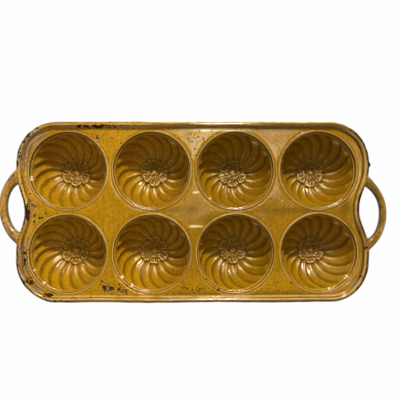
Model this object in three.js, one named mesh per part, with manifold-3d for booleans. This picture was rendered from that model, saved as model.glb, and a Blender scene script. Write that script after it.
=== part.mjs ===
// Stoneware baking pan with two rows of four swirled cups, a raised rim and two loop handles.
// Millimetres, +Z up, +X along the pan, +Y to the back. The origin is the centre of the surface it stands on.

import * as THREE from 'three';
import { mergeVertices } from 'three/addons/utils/BufferGeometryUtils.js';
import Module from 'manifold-3d';

const wasm = await Module();
wasm.setup();

// Cups
const columns = 4;
const rows = 2;
const mouthDiameter = 87;
const lipThickness = 2.2;
const lipRise = 0.7;
const cupDepth = 38;
const plainBand = 4;
const floorThickness = 6;
const footDiameter = 38;

// Swirled ribs inside each cup
const ribCount = 17;
const ribHeight = 2.2;
const ribHeightAtFloor = 0.7;
const ribSweep = THREE.MathUtils.degToRad(32);
const ribSweepPower = 1.3;
const ribSkew = 1.6;
const ribEnd = 2;

// Rosette on each cup's floor
const petalCount = 6;
const rosetteDiameter = 34;
const rosetteGroove = 2;
const petalHeight = 1.8;
const bossDiameter = 7;
const bossHeight = 2.4;

// Slab
const slabThickness = 7;
const webBetweenColumns = 3.6;
const webBetweenRows = 2.7;
const endStrip = 4.8;
const sideStrip = 2.8;
const cornerRadius = 46;
const leftWaistDepth = 9.5;
const rightWaistDepth = 11.5;
const waistSpan = 92;
const waistShift = 2;

// Rim
const rimWidth = 7.5;
const rimHeight = 6;
const rimCrestInset = 3.2;

// Handles
const leftHandleReach = 19.2;
const rightHandleReach = 20.8;
const handleWidth = 9.8;
const handleThickness = 9.8;
const handleDrop = 7;
const rootWidth = 15;
const rootThickness = 11;
const rootFlarePower = 4;
const rootSpacing = 82;
const shoulderSpacing = 57;
const leftHandleShift = 6.5;
const rightHandleShift = -3;

// Clearances between the pieces
const jointGap = 0.3;
const cupToCupGap = 0.6;

// Facets
const stepsPerRib = 3;
const outsideSteps = 3;
const insideSteps = 4;
const cornerSteps = 8;
const endSteps = 16;
const rimOuterSteps = 3;
const rimInnerSteps = 4;
const handleSteps = 16;
const handleSides = 12;

// Sizes that follow from the driving ones
const mouthRadius = mouthDiameter / 2;
const neckRadius = mouthRadius + lipThickness;
const ledgeRadius = neckRadius + (Math.min(webBetweenColumns, webBetweenRows) - cupToCupGap) / 2;
const columnPitch = 2 * neckRadius + webBetweenColumns;
const rowPitch = 2 * neckRadius + webBetweenRows;
const halfLength = (columns - 1) / 2 * columnPitch + neckRadius + endStrip + rimWidth;
const halfWidth = (rows - 1) / 2 * rowPitch + neckRadius + sideStrip + rimWidth;
const lipTop = floorThickness + cupDepth;
const slabTop = lipTop - lipRise;
const slabBottom = slabTop - slabThickness;
const bandBottom = lipTop - plainBand;
const rosetteRadius = rosetteDiameter / 2;
const floorRadius = rosetteRadius + rosetteGroove;
const cupSegments = ribCount * stepsPerRib;

const glaze = { color: 0xb8851f, roughness: 0.25, metalness: 0 };
const thinGlaze = { color: 0xb08a4a, roughness: 0.35, metalness: 0 };

// Mean curve of the bowl inside the cup, a part of an ellipse.
// The share runs from 0 at the floor to 1 at the smooth band.
function bowlPoint(share) {
  const floorAngle = Math.acos(floorRadius / mouthRadius);
  const bowlDepth = (bandBottom - floorThickness) / Math.sin(floorAngle);
  const angle = floorAngle * (1 - share);
  const inward = new THREE.Vector2(-Math.cos(angle) / mouthRadius, Math.sin(angle) / bowlDepth);
  return {
    radius: mouthRadius * Math.cos(angle),
    height: bandBottom - bowlDepth * Math.sin(angle),
    inward: inward.normalize(),
  };
}

// A ring of the cup's surface: its radius, height, turn of the ribs and the relief pressed into it.
function ring(radius, height, relief = {}) {
  return { radius, height, turn: ribSweep, rib: 0, petal: 0, inward: new THREE.Vector2(0, 1), ...relief };
}

// Outside of the cup, from the middle of the foot up to the top of the lip.
function outsideRings() {
  const footRadius = footDiameter / 2;
  const footAngle = Math.acos(footRadius / ledgeRadius);
  const wallDepth = slabBottom / Math.sin(footAngle);
  const rings = [ring(0, 0)];
  for (let step = 0; step <= outsideSteps; step += 1) {
    const angle = footAngle * (1 - step / outsideSteps);
    rings.push(ring(ledgeRadius * Math.cos(angle), slabBottom - wallDepth * Math.sin(angle)));
  }
  rings.push(ring(neckRadius, slabBottom));
  rings.push(ring(neckRadius, slabTop));
  rings.push(ring(mouthRadius + lipThickness / 2, lipTop));
  return rings;
}

// Inside of the cup, from the mouth down over the ribs to the boss in the rosette.
function insideRings() {
  const rings = [ring(mouthRadius, lipTop - lipRise), ring(mouthRadius, bandBottom)];
  const endShare = 1 - ribEnd / (bandBottom - floorThickness);
  for (let step = insideSteps; step >= 0; step -= 1) {
    const share = endShare * step / insideSteps;
    const { radius, height, inward } = bowlPoint(share);
    const rise = Math.sin(Math.PI / 2 * Math.min(1, 2 * share));
    const rib = ribHeightAtFloor + (ribHeight - ribHeightAtFloor) * rise;
    rings.push(ring(radius, height, { inward, rib, turn: ribSweep * share ** ribSweepPower }));
  }
  const bossRadius = bossDiameter / 2;
  const petalMiddle = (rosetteRadius + bossRadius) / 2;
  rings.push(ring(rosetteRadius, floorThickness, { turn: 0 }));
  rings.push(ring(petalMiddle, floorThickness, { turn: 0, petal: petalHeight }));
  rings.push(ring(bossRadius, floorThickness, { turn: 0 }));
  rings.push(ring(bossRadius / 2, floorThickness + bossHeight, { turn: 0 }));
  rings.push(ring(0, floorThickness + bossHeight, { turn: 0 }));
  return rings;
}

// Height of the relief at one step round the cup: skewed ribs on the wall, round petals on the floor.
function reliefAt(surface, step) {
  const alongRib = (step % stepsPerRib) / stepsPerRib;
  const rib = surface.rib * Math.sin(Math.PI * alongRib ** ribSkew);
  const petal = surface.petal * Math.abs(Math.sin(petalCount * Math.PI * step / cupSegments));
  return rib + petal;
}

function cupGeometry() {
  const rings = [...outsideRings(), ...insideRings()];
  const profile = rings.map((surface) => new THREE.Vector2(surface.radius, surface.height));
  const geometry = new THREE.LatheGeometry(profile, cupSegments);
  const position = geometry.attributes.position;
  for (let index = 0; index < position.count; index += 1) {
    const surface = rings[index % rings.length];
    const step = Math.floor(index / rings.length) % cupSegments;
    const relief = reliefAt(surface, step);
    const radius = surface.radius + relief * surface.inward.x;
    const angle = 2 * Math.PI * step / cupSegments + surface.turn;
    const height = surface.height + relief * surface.inward.y;
    position.setXYZ(index, radius * Math.cos(angle), radius * Math.sin(angle), height);
  }
  return geometry;
}

// One end of the pan's outline, from front to back: a round corner, the pressed waist and a round corner.
function endOutline(waistDepth) {
  const points = [];
  const straight = halfWidth - cornerRadius;
  const addCorner = (centreY, startAngle) => {
    for (let step = 0; step <= cornerSteps; step += 1) {
      const angle = startAngle + Math.PI / 2 * step / cornerSteps;
      const x = halfLength - cornerRadius + cornerRadius * Math.cos(angle);
      points.push(new THREE.Vector2(x, centreY + cornerRadius * Math.sin(angle)));
    }
  };
  addCorner(-straight, -Math.PI / 2);
  for (let step = 1; step < endSteps; step += 1) {
    const y = straight * (2 * step / endSteps - 1);
    const share = Math.min(0.5, Math.abs(y - waistShift) / waistSpan);
    points.push(new THREE.Vector2(halfLength - waistDepth * Math.cos(Math.PI * share) ** 2, y));
  }
  addCorner(straight, 0);
  return points;
}

function panOutline(leftDepth, rightDepth) {
  const left = endOutline(leftDepth).map((point) => new THREE.Vector2(-point.x, point.y)).reverse();
  return [...endOutline(rightDepth), ...left];
}

// The outline moved inwards by a distance, or outwards by a negative one.
function insetOutline(points, distance) {
  return points.map((point, index) => {
    const before = points[(index + points.length - 1) % points.length];
    const after = points[(index + 1) % points.length];
    const arriving = point.clone().sub(before).normalize();
    const leaving = after.clone().sub(point).normalize();
    const along = arriving.clone().add(leaving).normalize();
    const mitre = distance / along.dot(arriving);
    return new THREE.Vector2(point.x - along.y * mitre, point.y + along.x * mitre);
  });
}

function cupCentres() {
  const centres = [];
  for (let row = 0; row < rows; row += 1) {
    for (let column = 0; column < columns; column += 1) {
      const x = (column - (columns - 1) / 2) * columnPitch;
      const y = ((rows - 1) / 2 - row) * rowPitch;
      centres.push({ row, column, x, y });
    }
  }
  return centres;
}

function slabGeometry() {
  const shape = new THREE.Shape(panOutline(leftWaistDepth, rightWaistDepth));
  for (const { x, y } of cupCentres()) {
    const hole = new THREE.Path();
    hole.absarc(x, y, neckRadius + jointGap, 0, 2 * Math.PI, true);
    shape.holes.push(hole);
  }
  const options = { depth: slabThickness, bevelEnabled: false, curveSegments: Math.ceil(cupSegments / 2) };
  return new THREE.ExtrudeGeometry(shape, options).translate(0, 0, slabBottom);
}

// Joins closed loops of points, each loop to the next, into one surface.
// A ring joins its last loop to its first. A rod closes both ends with flat caps.
function loftGeometry(loops, isRing) {
  const sides = loops[0].length;
  const triangles = [];
  const joined = isRing ? loops.length : loops.length - 1;
  for (let loop = 0; loop < joined; loop += 1) {
    const next = (loop + 1) % loops.length;
    for (let side = 0; side < sides; side += 1) {
      const beside = (side + 1) % sides;
      const [near, far] = [loop * sides, next * sides];
      triangles.push(near + side, near + beside, far + beside);
      triangles.push(near + side, far + beside, far + side);
    }
  }
  if (!isRing) {
    const last = (loops.length - 1) * sides;
    for (let side = 1; side < sides - 1; side += 1) {
      triangles.push(0, side + 1, side, last, last + side, last + side + 1);
    }
  }
  const geometry = new THREE.BufferGeometry().setFromPoints(loops.flat());
  geometry.setIndex(triangles);
  return geometry;
}

// Section of the rim: a round outer shoulder up to the crest, then a soft slope down to the slab.
function rimSection() {
  const section = [];
  for (let step = 0; step <= rimOuterSteps; step += 1) {
    const angle = Math.PI / 2 * step / rimOuterSteps;
    section.push({ inset: rimCrestInset * (1 - Math.cos(angle)), rise: rimHeight * Math.sin(angle) });
  }
  for (let step = 1; step <= rimInnerSteps; step += 1) {
    const share = step / rimInnerSteps;
    const inset = rimCrestInset + (rimWidth - rimCrestInset) * share;
    section.push({ inset, rise: rimHeight * (1 + Math.cos(Math.PI * share)) / 2 });
  }
  return section;
}

function rimGeometry() {
  const outline = panOutline(leftWaistDepth, rightWaistDepth);
  const loops = rimSection().map(({ inset, rise }) => insetOutline(outline, inset)
    .map((point) => new THREE.Vector3(point.x, point.y, slabTop + rise)));
  return loftGeometry(loops, true);
}

function solidFrom(geometry) {
  const bare = geometry.clone();
  bare.deleteAttribute('normal');
  bare.deleteAttribute('uv');
  const merged = mergeVertices(bare);
  const mesh = new wasm.Mesh({
    numProp: 3,
    vertProperties: new Float32Array(merged.attributes.position.array),
    triVerts: new Uint32Array(merged.index.array),
  });
  return new wasm.Manifold(mesh);
}

function geometryFrom(solid) {
  const mesh = solid.getMesh();
  const geometry = new THREE.BufferGeometry();
  geometry.setAttribute('position', new THREE.BufferAttribute(mesh.vertProperties, mesh.numProp));
  geometry.setIndex(new THREE.BufferAttribute(mesh.triVerts, 1));
  return geometry;
}

// The bent rod of a handle on the right end, thin in the middle and flared at its two roots.
// The curve bends three quarters of the way out to its two middle points.
function handleRod(reach, waistDepth, shift) {
  const height = slabTop + rimHeight - handleDrop;
  const bend = (4 * (reach - handleWidth / 2) + waistDepth) / 3;
  const at = (x, y) => new THREE.Vector3(halfLength + x, shift + y, height);
  const curve = new THREE.CubicBezierCurve3(
    at(-waistDepth, -rootSpacing / 2),
    at(bend, -shoulderSpacing / 2),
    at(bend, shoulderSpacing / 2),
    at(-waistDepth, rootSpacing / 2),
  );
  const loops = [];
  for (let step = 0; step <= handleSteps; step += 1) {
    const share = step / handleSteps;
    const centre = curve.getPoint(share);
    const tangent = curve.getTangent(share);
    const flare = Math.abs(2 * share - 1) ** rootFlarePower;
    const across = THREE.MathUtils.lerp(handleWidth, rootWidth, flare) / 2;
    const up = THREE.MathUtils.lerp(handleThickness, rootThickness, flare) / 2;
    const loop = [];
    for (let side = 0; side < handleSides; side += 1) {
      const angle = 2 * Math.PI * side / handleSides;
      const outward = across * Math.cos(angle);
      loop.push(new THREE.Vector3(
        centre.x - tangent.y * outward,
        centre.y + tangent.x * outward,
        centre.z + up * Math.sin(angle),
      ));
    }
    loops.push(loop);
  }
  return loftGeometry(loops, false);
}

// A handle ends just short of the slab's edge and the rim, where it is luted on.
function handleGeometry(reach, waistDepth, shift) {
  const shape = new THREE.Shape(insetOutline(panOutline(waistDepth, waistDepth), -jointGap));
  const options = { depth: lipTop + rimHeight, bevelEnabled: false };
  const body = new THREE.ExtrudeGeometry(shape, options);
  return geometryFrom(solidFrom(handleRod(reach, waistDepth, shift)).subtract(solidFrom(body)));
}

// A handle shaped for the left end, its triangles turned over so that they still point out.
function mirrored(geometry) {
  const copy = geometry.clone();
  copy.scale(-1, 1, 1);
  const index = copy.index.array;
  for (let corner = 0; corner < index.length; corner += 3) {
    [index[corner], index[corner + 1]] = [index[corner + 1], index[corner]];
  }
  return copy;
}

function piece(name, geometry, finish) {
  const mesh = new THREE.Mesh(geometry, new THREE.MeshStandardMaterial(finish));
  mesh.name = name;
  return mesh;
}

const pan = new THREE.Group();
pan.name = 'mini_bundt_pan';
pan.add(piece('deck_slab', slabGeometry(), glaze));
pan.add(piece('rim_coil', rimGeometry(), thinGlaze));
const leftLoop = mirrored(handleGeometry(leftHandleReach, leftWaistDepth, leftHandleShift));
const rightLoop = handleGeometry(rightHandleReach, rightWaistDepth, rightHandleShift);
pan.add(piece('handle_left', leftLoop, thinGlaze));
pan.add(piece('handle_right', rightLoop, thinGlaze));
for (const { row, column, x, y } of cupCentres()) {
  const name = `cup_${row === 0 ? 'back' : 'front'}_${column + 1}`;
  const cup = piece(name, cupGeometry(), glaze);
  cup.position.set(x, y, 0);
  pan.add(cup);
}

export default pan;
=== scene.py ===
# Looks of a glazed stoneware baking pan: eight swirled cups in a rimmed slab with two loop handles.
import math

import bpy
import numpy as np
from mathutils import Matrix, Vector
from mathutils.geometry import delaunay_2d_cdt


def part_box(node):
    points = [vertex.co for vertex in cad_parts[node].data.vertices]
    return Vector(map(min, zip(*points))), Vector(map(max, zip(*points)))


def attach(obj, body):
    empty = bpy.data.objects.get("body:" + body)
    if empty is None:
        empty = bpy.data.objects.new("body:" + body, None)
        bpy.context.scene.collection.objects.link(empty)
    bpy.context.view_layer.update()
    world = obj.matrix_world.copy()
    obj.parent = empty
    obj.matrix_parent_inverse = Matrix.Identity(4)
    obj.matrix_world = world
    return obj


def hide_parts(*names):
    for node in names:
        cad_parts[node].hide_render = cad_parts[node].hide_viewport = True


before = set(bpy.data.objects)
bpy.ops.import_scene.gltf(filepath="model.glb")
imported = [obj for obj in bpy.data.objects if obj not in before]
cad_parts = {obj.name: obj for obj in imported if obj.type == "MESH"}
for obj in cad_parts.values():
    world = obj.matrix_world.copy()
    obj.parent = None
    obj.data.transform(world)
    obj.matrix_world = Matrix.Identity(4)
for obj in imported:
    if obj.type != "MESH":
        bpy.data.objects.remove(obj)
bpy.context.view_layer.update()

# Sizes of the pan in metres. Heights and places come from the parts in model.glb.
MM = 0.001
MOUTH_RADIUS = 43.5 * MM
NECK_RADIUS = 45.8 * MM
HOLE_RADIUS = 46.0 * MM
LEDGE_RADIUS = 46.75 * MM
FOOT_RADIUS = 19.0 * MM
FLOOR_RADIUS = 19.0 * MM
FLOOR_HEIGHT = 6.0 * MM
PLAIN_BAND = 4.0 * MM
LIP_RADIUS = 44.1 * MM
LIP_HEIGHT = 0.3 * MM
LIP_ROUNDING = 0.5 * MM
LEDGE = 1.5 * MM

RIB_COUNT = 17
RIB_HEIGHT = 2.6 * MM
RIB_HEIGHT_AT_FLOOR = 1.7 * MM
RIB_SWEEP = math.radians(32)
RIB_SWEEP_POWER = 1.3
RIB_CREST = 2 / 3
KNOB_HEIGHT = 0.7 * MM
PETAL_COUNT = 6
PETAL_REACH = 18.0 * MM
PETAL_HEIGHT = 2.4 * MM
INNER_PETAL_REACH = 9.6 * MM
INNER_PETAL_HEIGHT = PETAL_HEIGHT + 0.5 * MM
BOSS_RADIUS = 3.4 * MM
BOSS_HEIGHT = 3.2 * MM

CORNER_RADIUS = 46.0 * MM
LEFT_WAIST_DEPTH = 9.5 * MM
RIGHT_WAIST_DEPTH = 11.5 * MM
WAIST_SPAN = 92.0 * MM
WAIST_SHIFT = 2.0 * MM
RIM_WIDTH = 7.5 * MM

HANDLE_WIDTH = 9.8 * MM
HANDLE_THICKNESS = 9.8 * MM
HANDLE_DROP = 7.0 * MM
ROOT_SPACING = 82.0 * MM
SHOULDER_SPACING = 57.0 * MM

# Each handle, with the fillets inside its front and back root and how far these sit from their even places
HANDLES = {
    "handle_left": {
        "side": -1, "reach": 19.2 * MM, "shift": 6.5 * MM, "waist_depth": LEFT_WAIST_DEPTH,
        "width": 9.8 * MM, "thinness": 1.0, "fillets": (0.0, 7.0 * MM), "moves": (3.0 * MM, -3.6 * MM),
    },
    "handle_right": {
        "side": 1, "reach": 20.8 * MM, "shift": -3.0 * MM, "waist_depth": RIGHT_WAIST_DEPTH,
        "width": 8.0 * MM, "thinness": 0.2, "fillets": (3.0 * MM, 0.0), "moves": (1.8 * MM, 0.0),
    },
}

CUPS = [f"cup_{row}_{column}" for row in ("back", "front") for column in (1, 2, 3, 4)]
LIP_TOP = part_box(CUPS[0])[1][2]
SLAB_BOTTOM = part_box("deck_slab")[0][2]
SLAB_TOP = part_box("deck_slab")[1][2]
RIM_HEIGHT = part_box("rim_coil")[1][2] - SLAB_TOP
HALF_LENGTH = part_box("deck_slab")[1][0]
HALF_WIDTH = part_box("deck_slab")[1][1]
BAND_BOTTOM = LIP_TOP - PLAIN_BAND

# What the glaze does, with painted shade and highlights among it, as a strength at each point of a piece
FINISHES = ("pool_and_shade", "thin", "pale", "worn", "chip", "pits", "bare", "streak")

FLIP_X = np.array([-1, 1])
FLIP_Y = np.array([1, -1])


def cup_centre(node):
    return np.mean(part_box(node), axis=0)[:2]


def smooth_step(start, end, values):
    share = np.clip((values - start) / (end - start), 0, 1)
    return share * share * (3 - 2 * share)


def bell(values, middle, reach):
    return np.exp(-((values - middle) / reach) ** 2)


def wobble(points, wavelength, seed):
    """Unevenness of hand-worked clay, about -1 to 1, the same on every run."""
    waves = 7
    gain = 1.8
    source = np.random.default_rng(seed)
    directions = source.normal(size=(waves, 3))
    directions /= np.linalg.norm(directions, axis=1)[:, None]
    phases = source.uniform(0, 2 * np.pi, waves)
    heights = np.sin(points @ directions.T * (2 * np.pi / wavelength) + phases)
    return heights.mean(axis=-1) * gain


def full_turn(count):
    """Angles of points spread evenly round a circle."""
    return 2 * np.pi * np.arange(count) / count


def on_circle(angle):
    return np.stack([np.cos(angle), np.sin(angle)], axis=-1)


def with_height(plan, height):
    """Points of a plan, lifted to their heights."""
    return np.concatenate([plan, np.broadcast_to(height, len(plan))[:, None]], axis=1)


def grid_faces(rows, columns, close_rows=False):
    """Quads between rows of points, where each row is a closed loop."""
    here = np.arange(rows * columns).reshape(rows, columns)
    beside = np.roll(here, -1, axis=1)
    corners = (here, beside, np.roll(beside, -1, axis=0), np.roll(here, -1, axis=0))
    quads = np.stack(corners, axis=-1)
    return quads[:rows if close_rows else rows - 1].reshape(-1, 4).tolist()


def add_object(name, data):
    made = bpy.data.objects.new(name, data)
    bpy.context.scene.collection.objects.link(made)
    return made


def add_mesh(name, vertices, faces, material):
    mesh = bpy.data.meshes.new(name)
    mesh.from_pydata(vertices.tolist(), [], faces)
    mesh.shade_smooth()
    mesh.materials.append(material)
    return add_object(name, mesh)


def add_piece(name, node, vertices, faces, finish, material, run=None):
    """One named piece. A run is the distance along and across it at each point."""
    piece = add_mesh(name, vertices, faces, material)
    attributes = piece.data.attributes
    for key in FINISHES:
        values = np.full(len(vertices), finish.get(key, 0.0), dtype=np.float32)
        attributes.new(key, "FLOAT", "POINT").data.foreach_set("value", values)
    if run is not None:
        vectors = run.astype(np.float32).ravel()
        attributes.new("run", "FLOAT_VECTOR", "POINT").data.foreach_set("vector", vectors)
    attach(piece, "root")
    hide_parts(node)


# Outline of the pan

# Flat spots and one bulge of the hand-cut outline in millimetres: x, y, reach, depth
FLAT_SPOTS = ((-186, -88, 30, 2.0), (190, -66, 26, 1.2), (-115, -103, 40, 0.9), (-186, 24, 13, -1.2))


def waist_inset(y, depth):
    """How far the end of the pan is pressed in at each y."""
    share = np.minimum(0.5, np.abs(y - WAIST_SHIFT) / WAIST_SPAN)
    return depth * np.cos(np.pi * share) ** 2


def bump_at(place, points):
    """Height of a round bump given in millimetres: x, y, reach, height."""
    x, y, reach, height = place
    away = np.hypot(points[:, 0] - x * MM, points[:, 1] - y * MM)
    return height * MM * bell(away, 0, reach * MM)


def end_outline(step, waist_depth):
    """One end of the outline from front to back."""
    straight = HALF_WIDTH - CORNER_RADIUS
    turn = np.linspace(0, math.pi / 2, round(CORNER_RADIUS * math.pi / 2 / step) + 1)
    corner_x = HALF_LENGTH - CORNER_RADIUS + CORNER_RADIUS * np.sin(turn)
    corner_y = -straight - CORNER_RADIUS * np.cos(turn)
    front = np.stack([corner_x, corner_y], axis=1)
    y = np.linspace(-straight, straight, round(2 * straight / step) + 1)[1:-1]
    end = np.stack([HALF_LENGTH - waist_inset(y, waist_depth), y], axis=1)
    return np.concatenate([front, end, front[::-1] * FLIP_Y])


def pan_outline(step):
    """The whole outline, counter-clockwise, with its inward normals."""
    right = end_outline(step, RIGHT_WAIST_DEPTH)
    left = end_outline(step, LEFT_WAIST_DEPTH)[::-1] * FLIP_X
    reach = right[0][0]
    along = np.linspace(reach, -reach, round(2 * reach / step) + 1)[1:-1]
    back = np.stack([along, np.full_like(along, HALF_WIDTH)], axis=1)
    front = back[::-1] * FLIP_Y
    points = np.concatenate([right, back, left, front])
    tangents = np.roll(points, -1, axis=0) - np.roll(points, 1, axis=0)
    tangents /= np.linalg.norm(tangents, axis=1)[:, None]
    inward = np.stack([-tangents[:, 1], tangents[:, 0]], axis=1)
    for place in FLAT_SPOTS:
        points = points + inward * bump_at(place, points)[:, None]
    return points, inward


# Marks of use, as places on the pan in millimetres: x, y, reach along x, reach along y, strength

WORN_PLACES = (
    (-180, 82, 18, 18, 1.4), (-190, 62, 9, 26, 1.2), (-191, -52, 9, 34, 1.0), (-176, -88, 16, 9, 0.8),
    (-186, 4, 6, 24, 0.7), (184, -84, 15, 16, 0.55), (192, 60, 8, 24, 0.3),
)
CHIPPED_PLACES = (
    (-186.5, 0, 3, 14, 1.1), (-197, 66, 4, 18, 0.9), (-193, 80, 4, 7, 0.9), (-186.5, 88.5, 5, 5, 0.9),
    (-178.5, 95, 7, 4, 0.9), (-189, -80, 8, 10, 0.8), (-183, -77, 4.5, 5.5, 1.05), (-165, -93, 8, 3, 1.05),
    (-146, -102, 28, 4, 1.1), (-76, -103, 14, 3, 0.7), (-112, 97, 36, 3, 0.9), (-190.5, -52, 2.2, 20, 1.1),
    (-97, -86, 7, 5, 1.0), (-82, -87, 8, 4, 0.8), (-94, 84, 3, 3, 0.8), (170, 99, 14, 2.5, 0.8),
    (186.5, 88.5, 4, 4, 0.8), (193, 80, 3.5, 7, 0.8), (196, -40, 4, 30, 0.5), (190, 10, 4, 22, 0.5),
    (201, 53, 4, 4, 1.0),
)
# Darker places on the slab; the first, in the sheen at the slab's middle, is a painted dark reflection.
POOLS_AND_DARK_REFLECTION = (
    (-3, 3, 9, 5, 0.7), (-27, 2, 22, 3, 0.6), (128, 1.5, 52, 4, 0.7), (60, -93, 120, 3, 0.7),
    (20, -7, 16, 6, 0.4), (172, 6, 9, 13, 0.75),
)
THIN_PLACES = (
    (-184, 34, 7, 34, 0.8), (-186, -30, 6, 30, 0.6), (186, 20, 6, 50, 0.6), (166, -66, 16, 16, 0.9),
)
PITTED_PLACES = (
    (-174, 2, 12, 16, 1.0), (-186, -62, 10, 26, 0.7), (-88, -85, 16, 8, 1.0), (6, -87, 22, 8, 0.9),
    (-96, 95, 36, 6, 0.9), (-110, 84, 7, 6, 0.8), (4, 84, 14, 14, 0.7), (-188, 50, 8, 36, 0.7),
    (-140, -98, 40, 6, 0.7), (92, -88, 14, 8, 0.6), (60, -88, 110, 7, 0.16),
)

# Dark spots where the glaze crawled, in millimetres: x, y, radius
DARK_SPOTS = (
    (-181.6, 8.2, 1.0), (-179.8, 6.3, 1.1), (-180.4, -4.5, 1.2), (-179.4, -2.8, 0.8),
    (-174.0, -6.6, 1.2), (-171.2, -6.4, 0.9), (-166.9, -1.9, 1.1), (-180.2, -10.9, 1.2),
    (-185.6, 20.9, 0.9), (-184.5, 12.3, 1.0), (-103.8, -78.6, 1.1), (-98.8, -80.0, 0.5),
    (-96.5, -82.0, 0.5), (-101.2, -84.7, 1.9), (-100.3, -87.0, 1.3), (-91.9, -86.4, 1.7),
    (-93.8, -86.0, 1.3), (-94.2, -89.0, 0.8), (-97.1, -90.8, 1.0), (-100.9, -89.3, 0.8),
    (-84.6, -81.5, 1.1), (-82.9, -84.7, 0.6), (-85.8, -87.0, 0.6), (-85.0, -90.3, 0.6),
    (-82.6, -90.3, 0.5), (-80.3, -90.3, 0.9), (-77.1, -88.7, 1.0), (-76.2, -91.3, 1.0),
    (-75.1, -83.2, 0.6), (-70.4, -86.7, 0.6), (-109.6, 84.0, 1.5), (-92.8, 83.2, 0.7),
    (-6.2, 83.2, 1.0), (-1.8, 79.6, 0.8), (0.9, 87.4, 0.7), (2.2, 71.2, 0.9),
    (5.4, 85.2, 0.6), (7.0, 92.0, 0.7), (-7.4, -87.0, 1.1), (-1.7, -88.4, 0.9),
    (3.4, -85.2, 0.8), (7.0, -87.2, 1.0), (27.8, -88.6, 1.3), (13.8, -76.8, 0.7),
    (110.3, -81.2, 0.9), (96.0, -90.0, 0.7), (104.0, -92.5, 0.8),
)

# Spots of bare pinkish clay, in millimetres: x, y, radius
BARE_SPOTS = ((-97.2, -86.2, 1.6), (-98.0, -88.2, 1.0), (-110.6, 85.6, 0.8))

# Painted glints on a cup's ledge: direction in degrees, radius in millimetres
LEDGE_GLINTS = {
    "cup_front_1": ((206, 1.1), (231, 1.2)),
    "cup_front_2": ((218, 1.5), (238, 1.3)),
    "cup_back_1": ((189, 0.9), (193, 1.0)),
    "cup_back_3": ((228, 1.0),),
    "cup_front_4": ((320, 1.0), (316, 0.8), (287, 0.9)),
}

# Painted lines of sheen along the slab, in millimetres: middle x and y, half of length and width
SHEEN_LINES = ((2.2, 22.1, 4.8, 0.9), (2.7, -16.5, 10.5, 1.3), (30.0, 93.5, 46.0, 1.4))


def ledge_glints():
    """The painted ledge glints as x, y and radius in millimetres."""
    middle = (MOUTH_RADIUS - LEDGE / 2) / MM
    spots = []
    for node, places in LEDGE_GLINTS.items():
        for degrees, radius in places:
            x, y = cup_centre(node) / MM + middle * on_circle(math.radians(degrees))
            spots.append((x, y, radius))
    return spots


def mask_of(places, points):
    """How strong the marks are at each point."""
    mask = np.zeros(len(points))
    for x, y, reach_x, reach_y, strength in places:
        away = (points[:, :2] / MM - (x, y)) / (reach_x, reach_y)
        mask = np.maximum(mask, strength * np.exp(-(away ** 2).sum(axis=1)))
    return mask


# Cups, each made of zones of rings. A zone gives radius, height and turn of its rings, and its glaze.

COLUMNS_PER_RIB = 12
CUP_COLUMNS = RIB_COUNT * COLUMNS_PER_RIB
CUP_ANGLES = full_turn(CUP_COLUMNS)[None, :]
BOWL_RINGS = 46
FLOOR_RINGS = 54
FIRST_CUP_SEED = 10
HEIGHT_SEED_STEP = 50

# Rings under the foot, as shares of its radius, and rings on the lip's slope and on the ledge,
# as heights above the slab and above the foot of the plain band
FOOT_RINGS = np.array([0.3, 0.6, 0.85, 0.95])
FOOT_HEIGHTS = np.array([0.0, 0.0, 0.0, 0.06]) * MM
SLOPE_HEIGHTS = np.array([-0.30, -0.02, 0.05, 0.10, 0.15, 0.21]) * MM
LEDGE_HEIGHTS = np.array([0.25, 0.05, -0.08, -0.20, -0.50, -1.0]) * MM

# Glaze in each row of cups: how dark it is, how bright the painted highlight on the lip's far edge is, and
# its contrast on the ribs
CUP_POOL = {"back": 0.30, "front": 0.05}
FAR_LIP_HIGHLIGHT = {"back": 0.35, "front": 0.9}
RIB_CONTRAST = {"back": 0.65, "front": 1.0}

# Painted reflections, pale high on the back right wall of each cup, in degrees: direction, reach
PAINTED_REFLECTIONS = ((53, 5), (29, 4))


def bowl_curve(share):
    """Mean curve of the bowl, 0 at the floor to 1 at the band: radius, height and inward normal."""
    floor_angle = math.acos(FLOOR_RADIUS / MOUTH_RADIUS)
    depth = (BAND_BOTTOM - FLOOR_HEIGHT) / math.sin(floor_angle)
    angle = floor_angle * (1 - share)
    normal = np.stack([-np.cos(angle) / MOUTH_RADIUS, np.sin(angle) / depth])
    normal /= np.linalg.norm(normal, axis=0)
    return MOUTH_RADIUS * np.cos(angle), BAND_BOTTOM - depth * np.sin(angle), normal


def outside_zone():
    """Foot, outside wall and neck, from the foot up. The foot is bare clay."""
    foot_angle = math.acos(FOOT_RADIUS / LEDGE_RADIUS)
    depth = SLAB_BOTTOM / math.sin(foot_angle)
    angle = np.linspace(foot_angle * 0.985, 0, 18)
    neck = [SLAB_BOTTOM + 0.8 * MM, SLAB_TOP - 1.4 * MM]
    wall = SLAB_BOTTOM - depth * np.sin(angle)
    radius = np.concatenate([FOOT_RINGS * FOOT_RADIUS, LEDGE_RADIUS * np.cos(angle), [NECK_RADIUS] * 2])
    height = np.concatenate([FOOT_HEIGHTS, wall, neck])[:, None]
    return radius[:, None], height, RIB_SWEEP, {"bare": smooth_step(9 * MM, 3 * MM, height)}


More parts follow.
